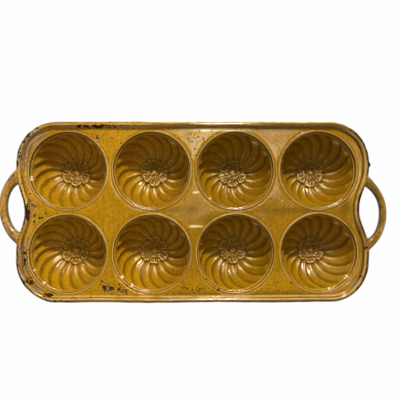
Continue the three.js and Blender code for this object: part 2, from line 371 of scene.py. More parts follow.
def lip_zone(row):
    """Low lip: a slope up from the slab, a sharp edge, the plain band and a ledge."""
    slope = np.linspace(LEDGE_RADIUS, LIP_RADIUS + LIP_ROUNDING, len(SLOPE_HEIGHTS) + 1)[:-1]
    turn = np.linspace(0, math.pi / 2, 6)
    edge = LIP_RADIUS + LIP_ROUNDING * (1 - np.sin(turn))
    edge_height = LIP_HEIGHT - LIP_ROUNDING * (1 - np.cos(turn))
    foot = BAND_BOTTOM - SLAB_TOP
    band_height = np.linspace(LIP_HEIGHT - LIP_ROUNDING, foot + 0.6 * MM, 4)[1:]
    band = np.full(len(band_height), LIP_RADIUS)
    ledge = np.linspace(LIP_RADIUS, MOUTH_RADIUS - LEDGE, len(LEDGE_HEIGHTS) + 1)[1:]
    radius = np.concatenate([slope, edge, band, ledge])[:, None]
    rise = np.concatenate([SLOPE_HEIGHTS, edge_height, band_height, foot + LEDGE_HEIGHTS])[:, None]
    crease = smooth_step(-0.2 * MM, -0.8 * MM, rise) * smooth_step(42.7 * MM, 43.3 * MM, radius)
    # The lip's pale edge is glaze broken on the edge, painted brighter towards the lit near side as a
    # highlight.
    far_lip_highlight = FAR_LIP_HIGHLIGHT[row]
    lip_highlight = far_lip_highlight + (1 - far_lip_highlight) * lit_front_share(CUP_ANGLES + RIB_SWEEP)
    finish = {
        "pale": 0.75 * bell(radius, LIP_RADIUS + 0.45 * MM, 0.4 * MM) * (rise > -0.3 * MM) * lip_highlight,
        "thin": 0.6 * bell(radius, MOUTH_RADIUS - 1.1 * MM, 0.35 * MM),
        "pool_and_shade": CUP_POOL[row] + 0.65 * crease,
    }
    return radius, SLAB_TOP + rise, RIB_SWEEP, finish


def rib_section(source):
    """Ribs round the cup, no two alike, with their grooves, crests and rounded ends."""
    phase = np.tile(np.arange(COLUMNS_PER_RIB) / COLUMNS_PER_RIB, RIB_COUNT)
    size = np.repeat(source.uniform(0.8, 1.1, RIB_COUNT), COLUMNS_PER_RIB)
    flank = np.minimum(phase / RIB_CREST, (1 - phase) / (1 - RIB_CREST))
    return {
        "section": size * (0.45 * flank + 0.55 * flank ** 1.8),
        "groove": bell(phase, 0, 0.2) + bell(phase, 1, 0.12),
        "crest": bell(phase, RIB_CREST, 0.085),
        "knob": size * bell(phase, RIB_CREST, 0.2),
    }


def lit_front_share(angle):
    """1 on the front half of a cup, which the lamp behind the pan lights, and less behind. Painted
    highlights, glints and pools follow it.
    """
    return 0.2 + 0.8 * smooth_step(0.4, -0.3, np.sin(angle))


def bowl_glaze(ribs, row, share, prominence, direction):
    """Deep in the grooves, with painted glints on the crest of each rib and its inner end towards the lit
    front, and two painted reflections high on the wall.
    """
    contrast = RIB_CONTRAST[row]
    # broken is the lit front share: painted glints are strongest where the lamp behind the pan lights the
    # front half, and the glaze in the grooves is lighter on the shaded back.
    broken = lit_front_share(direction)
    grooves = contrast * np.clip(prominence, 0.3, 0.8) * ribs["groove"]
    # Painted glints on the crest near the rosette and on the rounded inner ends.
    crest_glints = 1.2 * smooth_step(0.42, 0.06, share) * ribs["crest"] * broken
    ends = 1.4 * bell(share, 0.11, 0.08) * ribs["knob"] ** 2 * broken
    # Two painted reflections high on the back right wall.
    panes = sum(bell(direction, math.radians(middle), math.radians(reach)) for middle, reach in PAINTED_REFLECTIONS)
    wall_reflections = 1.3 * panes * bell(share, 0.85, 0.06)
    return {
        "pool_and_shade": CUP_POOL[row] * (0.7 + 0.3 * broken) + grooves * (0.75 + 0.25 * broken),
        "thin": 0.25 * contrast * prominence * ribs["crest"] * (0.6 + 0.4 * broken),
        "pale": np.maximum(np.maximum(crest_glints, ends), wall_reflections),
    }


def bowl_zone(ribs, row):
    """Swirled ribs from the ledge down to the rosette."""
    share = np.linspace(0.965, 0, BOWL_RINGS)[:, None]
    radius, height, normal = bowl_curve(share)
    growth = (RIB_HEIGHT - RIB_HEIGHT_AT_FLOOR) * smooth_step(0.0, 0.4, share)
    rise = smooth_step(0.97, 0.80, share) * (RIB_HEIGHT_AT_FLOOR + growth)
    relief = rise * ribs["section"] + LEDGE * smooth_step(0.1, 0.8, share)
    relief += KNOB_HEIGHT * bell(share, 0.08, 0.06) * ribs["knob"]
    turn = RIB_SWEEP * share ** RIB_SWEEP_POWER
    direction = (turn + CUP_ANGLES) % (2 * np.pi)
    finish = bowl_glaze(ribs, row, share, rise / RIB_HEIGHT, direction)
    return radius + relief * normal[0], height + relief * normal[1], turn, finish


def petal_layer(radius, angle, turn, reach, rise, source):
    """One ring of petals with raised edges and veins, no two alike: height and dark hollows."""
    place = angle * PETAL_COUNT / (2 * np.pi) + turn
    petal = np.floor(place).astype(int) % PETAL_COUNT
    size = source.uniform(0.86, 1.04, PETAL_COUNT)[petal]
    lift = source.uniform(0.75, 1.15, PETAL_COUNT)[petal]
    lean = source.uniform(-0.15, 0.15, PETAL_COUNT)[petal]
    side = 2 * (place % 1) - 1
    across = np.abs(side)
    start = 0.5 * BOSS_RADIUS
    tip = reach * size * (1 - 0.2 * across ** 2.5)
    along = np.clip((radius - start) / (tip - start), 0, 1)
    body = np.maximum(0, 1 - along ** 14) ** 0.5 * np.maximum(0, 1 - across ** 7) ** 0.5
    edges = np.maximum(bell(across, 0.74, 0.13), bell(along, 0.88, 0.07))
    veins = np.maximum(0.9 * bell(side, lean, 0.1), 0.7 * bell(np.abs(side - lean), 0.38, 0.08))
    ridge = np.maximum(edges, veins)
    level = 0.35 + 0.4 * along + 0.5 * ridge * smooth_step(0.25, 0.5, along)
    return body * level * rise * lift, (1 - ridge) * body


def floor_zone(section, row, source):
    """Rosette of two layers of petals round a boss, with rib ends between its tips."""
    radius = np.linspace(FLOOR_RADIUS, 0, FLOOR_RINGS)[1:-1][:, None]
    angle = CUP_ANGLES
    level = np.zeros((len(radius), CUP_COLUMNS))
    plan = np.stack([radius * np.cos(angle), radius * np.sin(angle), level], axis=-1)
    uneven = wobble(plan, 3.6 * MM, source.integers(1000))
    ribs = RIB_HEIGHT_AT_FLOOR * smooth_step(13 * MM, FLOOR_RADIUS, radius) * section[None, :]
    outer, outer_hollow = petal_layer(radius, angle, 0.0, PETAL_REACH, PETAL_HEIGHT, source)
    inner, inner_hollow = petal_layer(radius, angle, 0.5, INNER_PETAL_REACH, INNER_PETAL_HEIGHT, source)
    boss = BOSS_HEIGHT * np.sqrt(np.maximum(0, 1 - (radius / BOSS_RADIUS) ** 2)) + level
    flower = np.maximum(np.maximum(outer, inner), boss)
    relief = np.maximum(flower, ribs)
    seam = bell(flower - ribs, 0, 0.25 * MM) * smooth_step(6 * MM, 11 * MM, radius)
    hollow = np.where(inner > outer, inner_hollow, outer_hollow) * (boss < flower)
    crest = smooth_step(1.2 * MM, 2.1 * MM, relief) * (1 - hollow)
    # Painted highlights: the crest of each petal is paler towards the lit front of the cup.
    finish = {
        "pool_and_shade": CUP_POOL[row] + 0.5 * np.exp(-relief / (0.5 * MM)) + 0.4 * seam + 0.8 * hollow,
        "thin": 0.6 * crest * lit_front_share(angle),
        "pale": 1.6 * crest * smooth_step(-0.2, 0.7, uneven) * lit_front_share(angle),
    }
    edge = smooth_step(FLOOR_RADIUS, 0.9 * FLOOR_RADIUS, radius) * smooth_step(0, BOSS_RADIUS, radius)
    return radius, FLOOR_HEIGHT + relief + 0.46 * MM * uneven * edge, 0.0, finish


def cup_surface(seed, row):
    """Points of one cup about its own axis, ring by ring from foot to rosette, and its glaze."""
    source = np.random.default_rng(seed)
    ribs = rib_section(source)
    zones = (outside_zone(), lip_zone(row), bowl_zone(ribs, row), floor_zone(ribs["section"], row, source))
    points = []
    finishes = {key: [] for key in ("pool_and_shade", "thin", "pale", "bare")}
    for radius, height, turn, finish in zones:
        angle = CUP_ANGLES + turn
        place = np.broadcast_arrays(radius * np.cos(angle), radius * np.sin(angle), height)
        points.append(np.stack(place, axis=-1))
        for key, parts in finishes.items():
            parts.append(np.broadcast_to(np.clip(finish.get(key, 0.0), 0, 1), place[0].shape))
    return np.concatenate(points), {key: np.concatenate(parts) for key, parts in finishes.items()}


def add_cup(node, material):
    seed = FIRST_CUP_SEED + CUPS.index(node)
    points, finish = cup_surface(seed, "back" if "back" in node else "front")
    rows, columns, _ = points.shape
    centre = cup_centre(node)
    vertices = points.reshape(-1, 3) + np.array([*centre, 0])
    lift = smooth_step(5 * MM, 25 * MM, vertices[:, 2])
    push = 0.3 * MM * lift * wobble(vertices, 60 * MM, seed)
    away = vertices[:, :2] - centre
    away /= np.maximum(np.linalg.norm(away, axis=1), MM)[:, None]
    vertices[:, :2] += away * push[:, None]
    vertices[:, 2] += 0.2 * MM * lift * wobble(vertices, 75 * MM, seed + HEIGHT_SEED_STEP)

    poles = np.array([[*centre, 0], [*centre, FLOOR_HEIGHT + BOSS_HEIGHT]])
    vertices = np.concatenate([vertices, poles])
    faces = grid_faces(rows, columns)
    last = (rows - 1) * columns
    for column in range(columns):
        beside = (column + 1) % columns
        faces.append((rows * columns, beside, column))
        faces.append((rows * columns + 1, last + column, last + beside))
    finish = {key: np.append(values, [values[0, 0], values[-1, 0]]) for key, values in finish.items()}
    thin_by_use = 0.9 * mask_of(THIN_PLACES, vertices) * (1 - 2 * finish["pool_and_shade"])
    finish["pits"] = 0.4 * mask_of(PITTED_PLACES, vertices)
    finish["worn"] = 0.5 * finish["thin"] * mask_of(WORN_PLACES, vertices)
    finish["thin"] = np.maximum(finish["thin"], thin_by_use)
    add_piece(f"pressed_{node}", node, vertices, faces, finish, material)


# Slab

SLAB_SPACING = 3.0 * MM
SKIRT_RADIUS = HOLE_RADIUS + 0.75 * MM
EDGE_INSET = 4.0 * MM
FIELD_INSET = 5.5 * MM
HOLE_POINTS = 120


def inside_polygon(points, polygon):
    x, y = points.T[:, :, None]
    x0, y0 = polygon.T[:, None, :]
    x1, y1 = np.roll(polygon, -1, axis=0).T[:, None, :]
    crosses = (y0 > y) != (y1 > y)
    with np.errstate(all="ignore"):
        at = x0 + (y - y0) * (x1 - x0) / (y1 - y0)
    return (crosses & (x < at)).sum(axis=1) % 2 == 1


def from_cups(plan):
    """Distance of each point to the nearest cup's axis."""
    return np.min([np.linalg.norm(plan - cup_centre(node), axis=1) for node in CUPS], axis=0)


def from_outline(plan):
    """Distance of each point to the pan's outline."""
    outline, _ = pan_outline(SLAB_SPACING)
    return np.linalg.norm(plan[:, None, :] - outline[None, :, :], axis=2).min(axis=1)


def slab_field(border):
    """Evenly spread points inside a border, clear of the cups."""
    x, y = np.meshgrid(np.arange(-HALF_LENGTH, HALF_LENGTH, SLAB_SPACING),
                       np.arange(-HALF_WIDTH, HALF_WIDTH, SLAB_SPACING * math.sqrt(3) / 2))
    x[1::2] += SLAB_SPACING / 2
    field = np.stack([x, y], axis=-1).reshape(-1, 2)
    field = field[inside_polygon(field, border)]
    return field[from_cups(field) > SKIRT_RADIUS + 1.0 * MM]


def slab_plan():
    """Points and triangles of the slab seen from above, with its eight holes."""
    outline, inward = pan_outline(SLAB_SPACING)
    edge = outline + inward * EDGE_INSET
    circle = on_circle(full_turn(HOLE_POINTS))
    loops = [edge]
    for node in CUPS:
        loops += [cup_centre(node) + radius * circle for radius in (HOLE_RADIUS, SKIRT_RADIUS)]
    field = slab_field(outline + inward * FIELD_INSET)
    points = [Vector(point) for group in (*loops, field) for point in group]
    edges = []
    start = 0
    for loop in loops:
        count = len(loop)
        edges += [(start + i, start + (i + 1) % count) for i in range(count)]
        start += count
    found, _, triangles, _, _, _ = delaunay_2d_cdt(points, edges, [], 0, 1e-7)
    plan = np.array([(point.x, point.y) for point in found])
    triangles = np.array(triangles)
    middle = plan[triangles].mean(axis=1)
    keep = inside_polygon(middle, edge) & (from_cups(middle) > HOLE_RADIUS * 0.9995)
    used, triangles = np.unique(triangles[keep], return_inverse=True)
    return plan[used], triangles.reshape(-1, 3)


def border_edges(triangles):
    """Directed edges that only one triangle has."""
    edges = {edge for a, b, c in triangles.tolist() for edge in ((a, b), (b, c), (c, a))}
    return sorted((a, b) for a, b in edges if (b, a) not in edges)


def slab_glaze(plan):
    """Glaze with the marks of use on top of the slab, and partly bare clay below."""
    count = len(plan)
    plain = np.zeros(count)
    marked = {"pool_and_shade": POOLS_AND_DARK_REFLECTION, "thin": THIN_PLACES, "chip": CHIPPED_PLACES}
    finish = {key: np.append(mask_of(places, plan), plain) for key, places in marked.items()}
    finish["worn"] = np.append(np.minimum(1, mask_of(WORN_PLACES, plan)), plain)
    finish["pits"] = np.append(mask_of(PITTED_PLACES, plan), np.full(count, 0.2))
    finish["bare"] = np.append(plain, np.full(count, 0.35))
    ends = smooth_step(0.84 * HALF_LENGTH, 0.93 * HALF_LENGTH, np.abs(plan[:, 0]))
    finish["streak"] = np.tile(0.4 * ends, 2)
    return finish


def add_slab(material):
    plan, triangles = slab_plan()
    flat = with_height(plan, 0.0)
    beyond = from_cups(plan) - SKIRT_RADIUS
    calm = smooth_step(0, 9 * MM, beyond)
    sag = (0.4 * wobble(flat, 85 * MM, 3) + 0.12 * wobble(flat, 22 * MM, 4)) * MM * (0.2 + 0.8 * calm)
    tuck = 0.65 * MM * smooth_step(0, HOLE_RADIUS - SKIRT_RADIUS, beyond)
    under = 0.3 * MM * wobble(flat, 40 * MM, 5) * calm
    top = with_height(plan, SLAB_TOP + sag - 0.05 * MM - tuck)
    bottom = with_height(plan, SLAB_BOTTOM + np.maximum(under, 0))
    vertices = np.concatenate([top, bottom])
    count = len(plan)
    faces = triangles.tolist() + (triangles[:, ::-1] + count).tolist()
    for a, b in border_edges(triangles):
        faces.append((a, a + count, b + count, b))
    run = with_height(vertices[:, :2], np.tile(from_outline(plan), 2))
    add_piece("glazed_slab", "deck_slab", vertices, faces, slab_glaze(plan), material, run)


# Rim

RIM_SPACING = 2.0 * MM

# Bumps on the rim in millimetres: x, y, reach, height
GLAZE_LUMP = (201.0, 53.0, 2.6, 2.4)
COIL_JOINT = (-31.0, -103.0, 7.0, 0.7)

# Section of the rim from outside to inside, in millimetres: inset and rise where it is plain,
# folded as along the front, and low as along the back
RIM_SECTION = (
    (0.0, -2.4, 0.0, -2.4, 0.0, -2.4), (0.05, 0.2, 0.05, 0.2, 0.05, 0.2),
    (0.15, 1.3, 0.15, 1.3, 0.15, 1.2), (0.45, 2.6, 0.45, 2.6, 0.45, 2.1),
    (0.95, 3.7, 0.95, 3.7, 0.95, 2.9), (1.6, 4.6, 1.6, 4.6, 1.6, 3.5),
    (2.3, 5.3, 2.3, 5.3, 2.3, 4.0), (2.9, 5.7, 2.9, 5.7, 2.9, 4.3),
    (3.5, 5.95, 3.5, 5.9, 3.5, 4.5), (4.0, 6.0, 4.2, 5.9, 4.1, 4.6),
    (4.5, 5.8, 4.9, 5.2, 4.8, 4.4), (5.1, 5.2, 5.5, 4.4, 5.5, 3.9),
    (5.8, 4.0, 6.1, 4.0, 6.2, 3.1), (6.5, 2.4, 6.8, 4.1, 6.9, 2.2),
    (7.1, 1.1, 7.4, 3.3, 7.6, 1.3), (7.6, 0.2, 7.9, 1.7, 8.3, 0.4),
    (8.1, -0.5, 8.6, -0.5, 8.8, -0.5), (6.0, -2.0, 6.0, -2.0, 6.0, -2.0),
)

# The slab's edge below the rim in millimetres: its start underneath, its rounding and lift
EDGE_START = (5.0, 0.15)
EDGE_ROUNDING = 2.5
EDGE_LIFT = 2.4

# Bands along each side of the rim: glaze, inset and reach in millimetres, strength. The dark bands are
# partly painted shade and the pale bands painted highlights along the crests and edges.
RIM_BANDS = {
    "left": (("chip", 3.2, 1.3, 0.95), ("pale", 5.0, 0.5, 1.0), ("pool_and_shade", 6.4, 0.6, 1.0)),
    "back_left": (
        ("pale", 0.5, 0.4, 0.8), ("pool_and_shade", 1.9, 0.8, 1.0), ("thin", 3.9, 0.7, 0.8), ("pool_and_shade", 5.2, 0.5, 0.9),
    ),
    "back_right": (
        ("pale", 0.9, 0.8, 1.5), ("pool_and_shade", 2.1, 1.5, 1.0), ("pool_and_shade", 4.2, 0.9, 0.7), ("pool_and_shade", 6.5, 0.6, 0.9),
    ),
    "corner": (("chip", 2.2, 1.2, 1.2),),
    "right": (
        ("pool_and_shade", 2.9, 1.6, 0.75), ("chip", 3.2, 1.2, 0.9), ("pale", 5.5, 0.5, 1.0), ("pool_and_shade", 7.0, 0.7, 1.0),
        ("chip", 6.9, 0.5, 0.75),
    ),
    "front": (
        ("pool_and_shade", 2.3, 1.3, 1.0), ("pale", 4.6, 0.5, 0.7), ("pool_and_shade", 6.2, 0.6, 1.0), ("pale", 7.5, 0.5, 0.75),
    ),
}
# Bands further out than this, in millimetres, stop where a handle grows out of the rim
OUTER_BANDS = 4


def rim_sections():
    """Plain, folded and low section of the rim and the slab's edge, as inset and rise."""
    thickness = (SLAB_TOP - SLAB_BOTTOM) / MM
    start_inset, start_rise = EDGE_START
    edge = [(start_inset, start_rise - thickness)]
    for angle in np.linspace(0, math.pi / 2, 6):
        inset = EDGE_ROUNDING * (1 - math.sin(angle))
        edge.append((inset, EDGE_LIFT - EDGE_ROUNDING * math.cos(angle) - thickness))
    below = np.tile(edge, 3)
    table = np.concatenate([below, np.array(RIM_SECTION)]) * MM
    return table[:, 0:2], table[:, 2:4], table[:, 4:6]


def near_roots(outline):
    """1 where a handle grows out of the rim, 0 elsewhere."""
    near = np.zeros(len(outline))
    for handle in HANDLES.values():
        away = np.abs(np.abs(outline[:, 1] - handle["shift"]) - 0.42 * ROOT_SPACING)
        at_end = handle["side"] * outline[:, 0] > 0.8 * HALF_LENGTH
        near = np.maximum(near, bell(away, 0, 8 * MM) * at_end)
    return near


def rim_glaze(outline, section, glaze):
    """How strong one kind of glaze is at each point of the rim, ring by ring, with its bands of painted
    shade and highlight.
    """
    x, y = outline.T
    ends = smooth_step(0.84 * HALF_LENGTH, 0.94 * HALF_LENGTH, np.abs(x))
    sides = {
        "left": ends * (x < 0),
        "right": ends * (x > 0),
        "back_left": (1 - ends) * (y > 0) * smooth_step(-40 * MM, -60 * MM, x),
        "back_right": (1 - ends) * (y > 0) * smooth_step(-60 * MM, -40 * MM, x),
        "corner": bell(x, 183 * MM, 17 * MM) * (y > 0),
        "front": (1 - ends) * (y < 0),
    }
    clear = 1 - near_roots(outline)
    strength = np.zeros((len(section), len(outline)))
    for side, bands in RIM_BANDS.items():
        for kind, inset, reach, most in bands:
            if kind == glaze:
                band = most * bell(section[:, 0], inset * MM, reach * MM)
                strength += band[:, None] * (sides[side] * (clear if inset < OUTER_BANDS else 1))
    return np.clip(strength, 0, 1).ravel()


def rim_points(outline, inward, sections):
    """Rings of points from the slab's underside over the crest to the inside."""
    base = with_height(outline, 0.0)
    fold = smooth_step(-0.60 * HALF_WIDTH, -0.97 * HALF_WIDTH, outline[:, 1] - 0.1 * outline[:, 0])[:, None]
    sink = smooth_step(0.70 * HALF_WIDTH, 0.99 * HALF_WIDTH, outline[:, 1])[:, None]
    out = 0.35 * MM * wobble(base, 90 * MM, 21) + 0.18 * MM * wobble(base, 17 * MM, 22) - 0.35 * MM
    out += bump_at(GLAZE_LUMP, outline)
    crest = 0.35 * MM * wobble(base, 70 * MM, 23) + bump_at(COIL_JOINT, outline) - 0.35 * MM
    rings = []
    for plain, folded, low in zip(*sections):
        inset, rise = (plain + (folded - plain) * fold + (low - plain) * sink).T
        move = inset - out * np.clip(1 - inset / RIM_WIDTH, 0, 1)
        height = SLAB_TOP + rise + crest * np.clip(rise / RIM_HEIGHT, 0, 1)
        rings.append(with_height(outline + inward * move[:, None], height))
    return np.concatenate(rings)


def rim_run(outline, section):
    """Place along the rim, on a circle of the same length, and distance across it."""
    steps = np.linalg.norm(np.roll(outline, -1, axis=0) - outline, axis=1)
    lap = 2 * np.pi * np.cumsum(steps) / steps.sum()
    round_pan = steps.sum() / (2 * np.pi) * on_circle(lap)
    across = np.append(0, np.cumsum(np.linalg.norm(np.diff(section, axis=0), axis=1)))
    return with_height(np.tile(round_pan, (len(section), 1)), np.repeat(across, len(outline)))


def add_rim(material):
    outline, inward = pan_outline(RIM_SPACING)
    sections = rim_sections()
    section = sections[0]
    vertices = rim_points(outline, inward, sections)
    faces = grid_faces(len(section), len(outline), close_rows=True)
    worn = mask_of(WORN_PLACES, vertices)
    rubbing = np.repeat(0.3 + 0.7 * smooth_step(1 * MM, 3 * MM, section[:, 1]), len(outline))
    finish = {kind: rim_glaze(outline, section, kind) for kind in ("pool_and_shade", "thin", "pale", "chip")}
    finish["chip"] = np.maximum(mask_of(CHIPPED_PLACES, vertices), finish["chip"])
    finish["worn"] = 0.8 * np.minimum(1, worn)
    finish["pits"] = 0.8 * mask_of(PITTED_PLACES, vertices)
    finish["streak"] = np.clip(0.4 + 0.6 * worn, 0, 1) * rubbing
    run = rim_run(outline, section)
    add_piece("coil_rim", "rim_coil", vertices, faces, finish, material, run)


# Handles

HANDLE_ROWS = 64
HANDLE_SIDES = 32


def handle_curve(handle):
    """Middle line of a handle on the right end, from front to back: points and directions."""
    root = -handle["waist_depth"]
    bend = (4 * (handle["reach"] - HANDLE_WIDTH / 2) - root) / 3
    x = HALF_LENGTH + np.array([root, bend, bend, root])
    y = handle["shift"] + np.array([-ROOT_SPACING, -SHOULDER_SPACING, SHOULDER_SPACING, ROOT_SPACING]) / 2
    points = np.stack([x, y], axis=1)[:, None, :]
    share = np.linspace(0.03, 0.97, HANDLE_ROWS)[:, None]
    while len(points) > 1:
        directions = points[1] - points[0]
        points = points[:-1] * (1 - share) + points[1:] * share
    return points[0], directions / np.linalg.norm(directions, axis=1)[:, None]


def handle_points(handle, share, turn):
    """Points of a handle on the right end, swelling towards its roots and flat inside the rim."""
    points, directions = handle_curve(handle)
    front = share < 0.5
    near_root = np.abs(2 * share - 1)
    flare = near_root ** 5
    move = np.where(front, *handle["moves"]) * near_root ** 2
    across = (handle["width"] * (0.95 + 0.1 * share) + 7.0 * MM * flare) / 2
    fillet = np.where(front, *handle["fillets"]) * near_root ** 4
    outward = across * np.sign(np.cos(turn)) * np.abs(np.cos(turn)) ** 0.9
    outward += fillet * np.maximum(0, np.cos(turn))
    x = points[:, :1] - directions[:, 1:] * outward
    y = points[:, 1:] + move + directions[:, :1] * outward
    buried = smooth_step(1.5 * MM, 4.0 * MM, HALF_LENGTH - waist_inset(y, handle["waist_depth"]) - x)
    up = (HANDLE_THICKNESS + 0.6 * MM * flare) / 2
    height = SLAB_TOP + RIM_HEIGHT - HANDLE_DROP + 2.4 * MM * near_root ** 3
    z = height - 2.0 * MM * buried + up * np.sin(turn) * (1 - 0.8 * buried)
    vertices = np.stack([x, y, z], axis=-1).reshape(-1, 3)
    vertices[:, 0] -= 0.3 * MM * wobble(vertices, 30 * MM, 31) + 0.2 * MM
    vertices[:, 2] += 0.35 * MM * wobble(vertices, 26 * MM, 32) * (1 - flare.repeat(HANDLE_SIDES))
    return vertices


def handle_glaze(thinness, share, turn):
    """Thin glaze on top, painted shade over deeper glaze along both sides, and a painted highlight as a pale
    ridge near the front root.
    """
    covered = 1 - thinness
    towards_pan = np.cos(turn)
    top = np.maximum(0, np.sin(turn))
    # Painted highlight on the upper outer side near the front root.
    ridge = smooth_step(0.55, 0.3, share) * bell(towards_pan, -0.5, 0.2) * (np.sin(turn) > 0)
    thin = (thinness * top ** 3 + covered * ridge).ravel()
    # Painted shade on both steep sides, over deeper glaze.
    pool_and_shade = 0.9 * smooth_step(0.35, 0.85, towards_pan) + 0.8 * smooth_step(-0.7, -0.95, towards_pan)
    pool_and_shade += 0.65 * covered
    return {
        "thin": thin,
        "pale": (0.8 * covered * ridge).ravel(),
        "pool_and_shade": np.clip(np.tile(pool_and_shade, HANDLE_ROWS) - 0.5 * thin, 0, 1),
        "worn": 0.2 + 0.3 * thinness,
        "pits": 0.8,
        "streak": 0.75,
    }


def add_handle(node, material):
    handle = HANDLES[node]
    share = np.linspace(0, 1, HANDLE_ROWS)[:, None]
    turn = full_turn(HANDLE_SIDES)
    vertices = handle_points(handle, share, turn)
    vertices[:, 0] *= handle["side"]
    faces = grid_faces(HANDLE_ROWS, HANDLE_SIDES)
    faces.append(list(range(HANDLE_SIDES))[::-1])
    faces.append([(HANDLE_ROWS - 1) * HANDLE_SIDES + i for i in range(HANDLE_SIDES)])
    if handle["side"] < 0:
        faces = [face[::-1] for face in faces]
    along = np.repeat(share, HANDLE_SIDES) * ROOT_SPACING
    around = np.tile(turn * HANDLE_WIDTH / 2, HANDLE_ROWS)
    run = np.stack([along, np.zeros_like(along), around], axis=1)
    finish = handle_glaze(handle["thinness"], share, turn)
    add_piece(f"pulled_{node}", node, vertices, faces, finish, material, run)


# Glaze

# Colours as they look on a screen, 0 to 255
COLOURS = {
    "amber": (172, 120, 2), "honey": (190, 138, 4), "stroke": (148, 96, 1), "light_mottle": (206, 158, 24),
    "dark_mottle": (136, 89, 1), "light_grain": (214, 166, 34), "dark_grain": (120, 78, 1),
    "brown_blotch": (150, 98, 40), "olive_blotch": (158, 118, 6), "shade": (104, 70, 2),
    "pool_and_shade": (81, 53, 5), "left_tan": (208, 150, 76), "right_tan": (190, 150, 74),
    "rim_tan": (204, 180, 118), "pale": (236, 204, 138), "dark_streak": (80, 54, 26),
    "light_streak": (210, 172, 108), "dark_wear": (104, 78, 50), "light_wear": (176, 144, 100),
    "brown_chip": (40, 23, 15), "black_chip": (18, 9, 6), "bare_spot": (158, 118, 92),
    "sheen_line": (240, 216, 150), "ledge_glint": (244, 220, 160), "dark_spot": (44, 20, 10),
    "light_clay": (176, 142, 104), "dark_clay": (150, 116, 80),
}


def srgb(red, green, blue):
    """A colour of the screen as linear light."""
    channels = [value / 255 for value in (red, green, blue)]
    linear = [c / 12.92 if c <= 0.04045 else ((c + 0.055) / 1.055) ** 2.4 for c in channels]
    return (*linear, 1.0)


# Noises in the glaze: scale, detail, roughness
NOISES = {
    "broad": (14.0, 3.0, 0.5), "blotch": (40.0, 4.0, 0.65), "middle": (70.0, 4.0, 0.6),
    "mottle": (230.0, 3.0, 0.6), "fine": (640.0, 3.0, 0.6), "strokes": ((300.0, 40.0, 90.0), 2.0, 0.5),
}
# Rubbing along and across a piece
RUBBING = ((50.0, 50.0, 650.0), 3.0, 0.6)

# Layers of colour over the amber, in order: noise, where it starts and is full, strength, colour
COLOUR_LAYERS = (
    ("strokes", 0.45, 0.75, 0.45, "stroke"), ("mottle", 0.5, 0.75, 0.4, "light_mottle"),
    ("mottle", 0.5, 0.3, 0.3, "dark_mottle"), ("fine", 0.48, 0.68, 0.4, "light_grain"),
    ("fine", 0.52, 0.32, 0.4, "dark_grain"), ("blotch", 0.54, 0.70, 0.3, "brown_blotch"),
    ("blotch", 0.46, 0.30, 0.35, "olive_blotch"),
)

# Cells per metre for specks of two sizes, and the chance of a speck in each cell
SPECK_CELLS = (380.0, 700.0)
SPECK_CHANCE_IN_PITS = 0.3
SPECK_CHANCE = 0.004
BUMP_DISTANCE = 0.7 * MM
WANDER = 3.0 * MM


class Nodes:
    """Helpers to build the nodes of a material or world. A colour may be given by its name."""

    def __init__(self, owner):
        owner.use_nodes = True
        self.tree = owner.node_tree
        self.tree.nodes.clear()

    def add(self, kind, inputs=None, **settings):
        node = self.tree.nodes.new(f"ShaderNode{kind}")
        for key, value in settings.items():
            setattr(node, key, value)
        for key, value in (inputs or {}).items():
            if isinstance(value, bpy.types.NodeSocket):
                self.tree.links.new(value, node.inputs[key])
            else:
                node.inputs[key].default_value = srgb(*COLOURS[value]) if isinstance(value, str) else value
        return node

    def math(self, operation, first, second=0.0):
        return self.add("Math", {0: first, 1: second}, operation=operation).outputs[0]

    def times(self, first, second):
        return self.math("MULTIPLY", first, second)

    def total(self, start, *terms):
        """A start value plus each value times its weight."""
        for value, weight in terms:
            start = self.math("ADD", start, self.times(value, weight))
        return start

    def mix(self, share, first, second):
        return self.add("Mix", {0: share, 6: first, 7: second}, data_type="RGBA").outputs[2]

    def ramp(self, value, low, high, top=1.0):
        inputs = {"Value": value, "From Min": low, "From Max": high, "To Max": top}
        return self.add("MapRange", inputs, interpolation_type="SMOOTHSTEP").outputs["Result"]

    def noise(self, place, scale, detail, roughness):
        """Noise, drawn out where each axis has its own scale."""
        if isinstance(scale, tuple):
            place = self.add("Mapping", {"Vector": place, "Scale": scale}).outputs["Vector"]
            scale = 1.0
        inputs = {"Vector": place, "Scale": scale, "Detail": detail, "Roughness": roughness}
        return self.add("TexNoise", inputs).outputs["Fac"]

    def attribute(self, name, output="Fac"):
        return self.add("Attribute", attribute_name=name).outputs[output]


